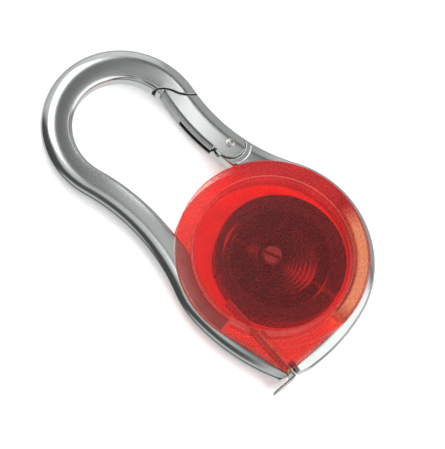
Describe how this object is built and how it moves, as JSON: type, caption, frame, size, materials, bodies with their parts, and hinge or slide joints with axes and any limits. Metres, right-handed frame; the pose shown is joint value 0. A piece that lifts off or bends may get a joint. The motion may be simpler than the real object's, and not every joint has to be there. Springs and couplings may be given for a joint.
{
  "type": "carabiner tape measure",
  "caption": "Pocket tape measure in a round translucent case, held in a cast carabiner frame with a sprung gate; the hooked tape leaves a pointed mouth and is wound back by a spring.",
  "frame": {"origin": "on the axis of the round case, in the plane of its back face", "axes": "+Z out of the front cover along the case's axis, +Y from the case towards the carabiner's hook, +X towards the side with the gate"},
  "size_m": [0.0504, 0.0907, 0.0077],
  "materials": {
    "cast_metal": "satin, lightly polished casting",
    "gate_strip": "satin",
    "spring_steel": "blued spring steel, oiled",
    "clear_red_plastic": "translucent, lightly frosted",
    "coated_tape": "coated steel tape with printed graduations",
    "plated_steel": "bright plated sheet",
    "rivet_brass": "plain",
    "dark_plastic": "moulded"
  },
  "bodies": {
    "case": {"hook_frame": "cast_metal", "gate_arm": "cast_metal", "front_cover": "clear_red_plastic", "rear_cover": "clear_red_plastic", "gate_pin": "gate_strip", "gate_spring": "spring_steel", "mainspring_inner_turns": "spring_steel", "mouth_guide": "dark_plastic"},
    "gate": {"gate": "cast_metal", "gate_insert": "gate_strip"},
    "reel": {"tape_coil": "coated_tape", "mainspring": "spring_steel", "coil_rivet": "spring_steel"},
    "tape_end": {"end_hook": "plated_steel", "hook_rivets": "rivet_brass", "tape_blade": "coated_tape"}
  },
  "joints": [
    {"name": "gate_swing", "type": "hinge", "parent": "case", "child": "gate", "pos_m": [0.0153, 0.0247, 0.00385], "axis": [0, 0, 1], "range_deg": [0, 28], "stiffness_Nm_per_rad": 0.05, "springref_deg": -20.05, "deforming": ["gate_spring"]},
    {"name": "reel_spin", "type": "hinge", "parent": "case", "child": "reel", "pos_m": [0.0007, -0.00195, 0.00385], "axis": [0, 0, 1], "range_deg": [0, 3900], "stiffness_Nm_per_rad": 0.0002, "springref_deg": -5729.58, "deforming": ["mainspring_inner_turns"]},
    {"name": "tape_pull", "type": "slide", "parent": "case", "child": "tape_end", "axis": [-0.168, -0.9858, 0], "range_m": [0, 0.95], "deforming": ["tape_blade"]}
  ],
  "couplings": [
    {"joint": "tape_pull", "follows": "reel_spin", "m_per_rad": 0.01395}
  ]
}
